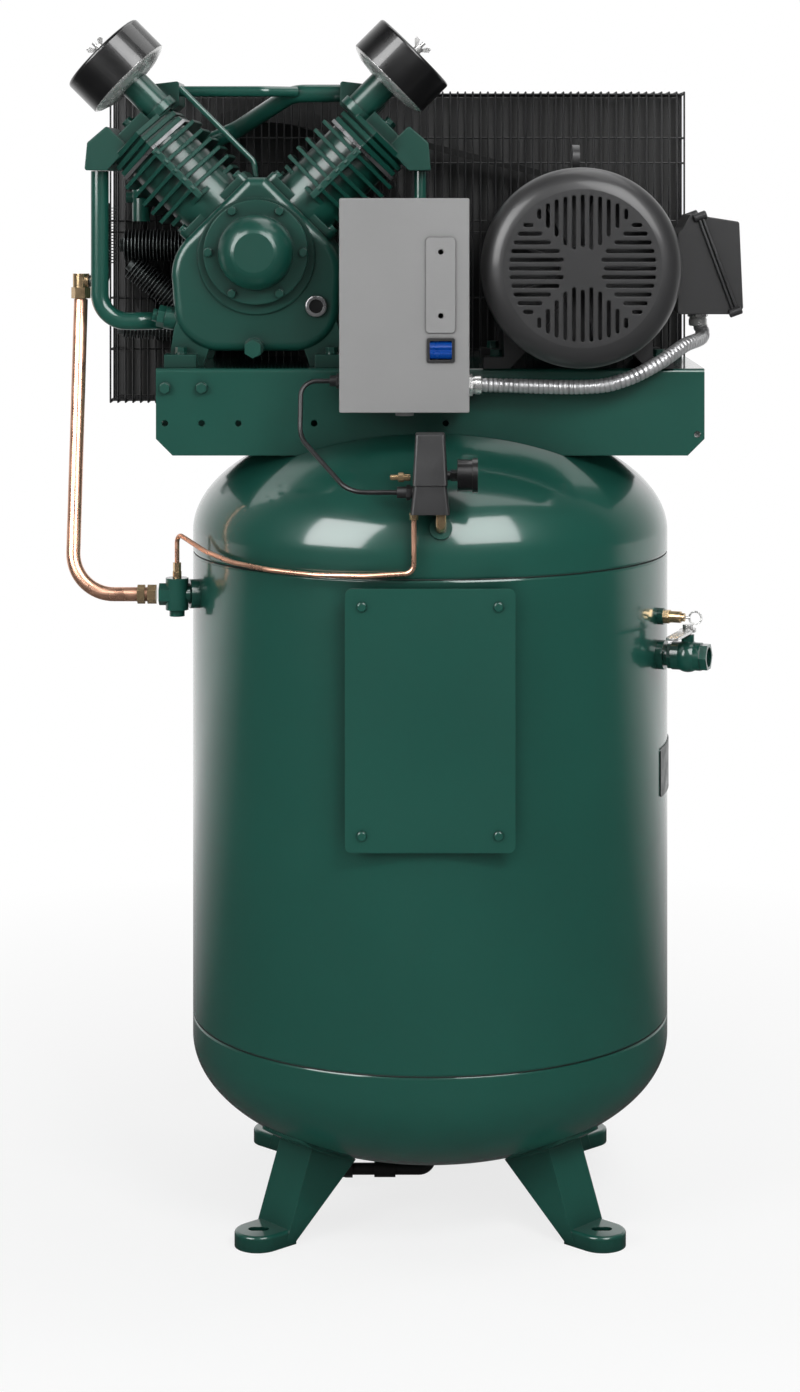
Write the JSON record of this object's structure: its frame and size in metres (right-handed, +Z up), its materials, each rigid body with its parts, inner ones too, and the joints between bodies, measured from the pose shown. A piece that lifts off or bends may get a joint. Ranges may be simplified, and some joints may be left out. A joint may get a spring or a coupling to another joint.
{
  "type": "vertical tank compressor",
  "caption": "Upright tank compressor: V pump, motor and belt guard on a platform above a tall receiver on four pressed legs.",
  "frame": {"origin": "on the floor under the tank axis, at the centre of the four foot slots", "axes": "+X to the right seen from the front, +Y to the back, +Z up"},
  "size_m": [1.0655, 0.806, 1.8821],
  "materials": {
    "green_paint": "gloss green enamel on sheet steel",
    "green_cast": "satin green enamel on cast iron",
    "black_iron": "satin black paint on cast iron",
    "motor_paint": "satin charcoal enamel",
    "black_wire": "black powder coat on wire",
    "grey_box": "fine textured light grey powder coat",
    "steel": "turned steel",
    "bolt_steel": "painted over hex screws",
    "zinc": "bright zinc plate",
    "conduit_metal": "galvanised strip",
    "fin_metal": "dull aluminium fins",
    "aluminium": "machined aluminium",
    "copper": "bright drawn copper tube",
    "brass": "machined brass",
    "black_gloss": "gloss black",
    "black_plastic": "moulded black plastic",
    "blue_plastic": "moulded blue plastic",
    "cable_rubber": "black cable sheath",
    "belt_rubber": "black rubber and canvas",
    "filter_paper": "pleated paper",
    "lens_glass": "clear glass",
    "data_plate": "blank anodised plate"
  },
  "bodies": {
    "compressor_frame": {"ball_valve_body": "green_paint", "bearings": "steel", "belt_guard": "black_wire", "breather_tube": "green_paint", "cable_glands": "black_plastic", "check_valve": "green_paint", "control_box": "grey_box", "control_box_cover": "grey_box", "control_cable": "cable_rubber", "crankcase": "green_cast", "cylinder_heads": "green_cast", "cylinders": "green_cast", "data_plate": "data_plate", "discharge_tube": "copper", "drain_pipe": "black_iron", "fan_cover": "motor_paint", "filter_bases": "zinc", "filter_elements": "filter_paper", "filter_housings": "black_gloss", "front_bearing_cover": "green_cast", "front_plate": "green_paint", "gauge_case": "black_gloss", "hex_bolts": "bolt_steel", "intercooler": "fin_metal", "interstage_tubes": "green_paint", "lenses": "lens_glass", "motor_conduit": "conduit_metal", "motor_frame": "motor_paint", "motor_terminal_box": "motor_paint", "oil_plugs": "green_paint", "plate_bolts": "green_paint", "platform": "green_paint", "pressure_switch": "black_plastic", "rocker_frame": "black_plastic", "safety_valve": "brass", "sight_glass_bezel": "steel", "tank_bottom_head": "green_paint", "tank_bungs": "green_paint", "tank_legs": "green_paint", "tank_shell": "green_paint", "tank_top_head": "green_paint", "tube_fittings": "brass", "unloader_tube": "copper", "v_belts": "belt_rubber", "valve_plates": "steel", "wing_nuts": "zinc"},
    "crank": {"crankshaft": "steel", "flywheel": "black_iron"},
    "motor_rotor": {"rotor_shaft": "steel", "cooling_fan": "black_plastic", "sheave": "black_iron"},
    "left_pistons": {"pistons_left": "aluminium"},
    "right_pistons": {"pistons_right": "aluminium"},
    "left_rods": {"rods_left": "aluminium"},
    "right_rods": {"rods_right": "aluminium"},
    "outlet_lever": {"ball_valve_lever": "zinc"},
    "drain_lever": {"drain_handle": "zinc"},
    "power_rocker": {"rocker_switch": "blue_plastic"},
    "needle": {"gauge_needle": "black_plastic"},
    "relief_ring": {"safety_ring": "zinc"}
  },
  "joints": [
    {"name": "crank_turn", "type": "hinge", "parent": "compressor_frame", "child": "crank", "pos_m": [-0.273, 0, 1.514], "axis": [0, 1, 0], "continuous": true},
    {"name": "motor_turn", "type": "hinge", "parent": "compressor_frame", "child": "motor_rotor", "pos_m": [0.23, 0, 1.49275], "axis": [0, 1, 0], "continuous": true},
    {"name": "left_piston_slide", "type": "slide", "parent": "compressor_frame", "child": "left_pistons", "axis": [-0.7071, 0, 0.7071], "range_m": [-0.06244, 0.01356]},
    {"name": "right_piston_slide", "type": "slide", "parent": "compressor_frame", "child": "right_pistons", "axis": [0.7071, 0, 0.7071], "range_m": [-0.06244, 0.01356]},
    {"name": "left_rod_swing", "type": "hinge", "parent": "left_pistons", "child": "left_rods", "pos_m": [-0.39635, 0, 1.63735], "axis": [0, 1, 0], "range_deg": [-4.36, 24.99]},
    {"name": "right_rod_swing", "type": "hinge", "parent": "right_pistons", "child": "right_rods", "pos_m": [-0.14965, 0, 1.63735], "axis": [0, 1, 0], "range_deg": [-24.99, 4.36]},
    {"name": "outlet_lever_turn", "type": "hinge", "parent": "compressor_frame", "child": "outlet_lever", "pos_m": [0.40219, -0.14638, 0.884], "axis": [0, 0, 1], "range_deg": [0, 90]},
    {"name": "drain_lever_turn", "type": "hinge", "parent": "compressor_frame", "child": "drain_lever", "pos_m": [-0.153, 0, 0.034], "axis": [0, 0, 1], "range_deg": [0, 90]},
    {"name": "power_rocker_tilt", "type": "hinge", "parent": "compressor_frame", "child": "power_rocker", "pos_m": [0.016, -0.303, 1.37], "axis": [1, 0, 0], "range_deg": [-8, 8]},
    {"name": "gauge_needle_sweep", "type": "hinge", "parent": "compressor_frame", "child": "needle", "pos_m": [0.064, -0.392, 1.19], "axis": [1, 0, 0], "range_deg": [-270, 0]},
    {"name": "relief_ring_pull", "type": "slide", "parent": "compressor_frame", "child": "relief_ring", "axis": [0.9397, -0.342, 0], "range_m": [0, 0.004]}
  ],
  "couplings": [
    {"joint": "motor_turn", "follows": "crank_turn", "ratio": 1.7407}
  ]
}
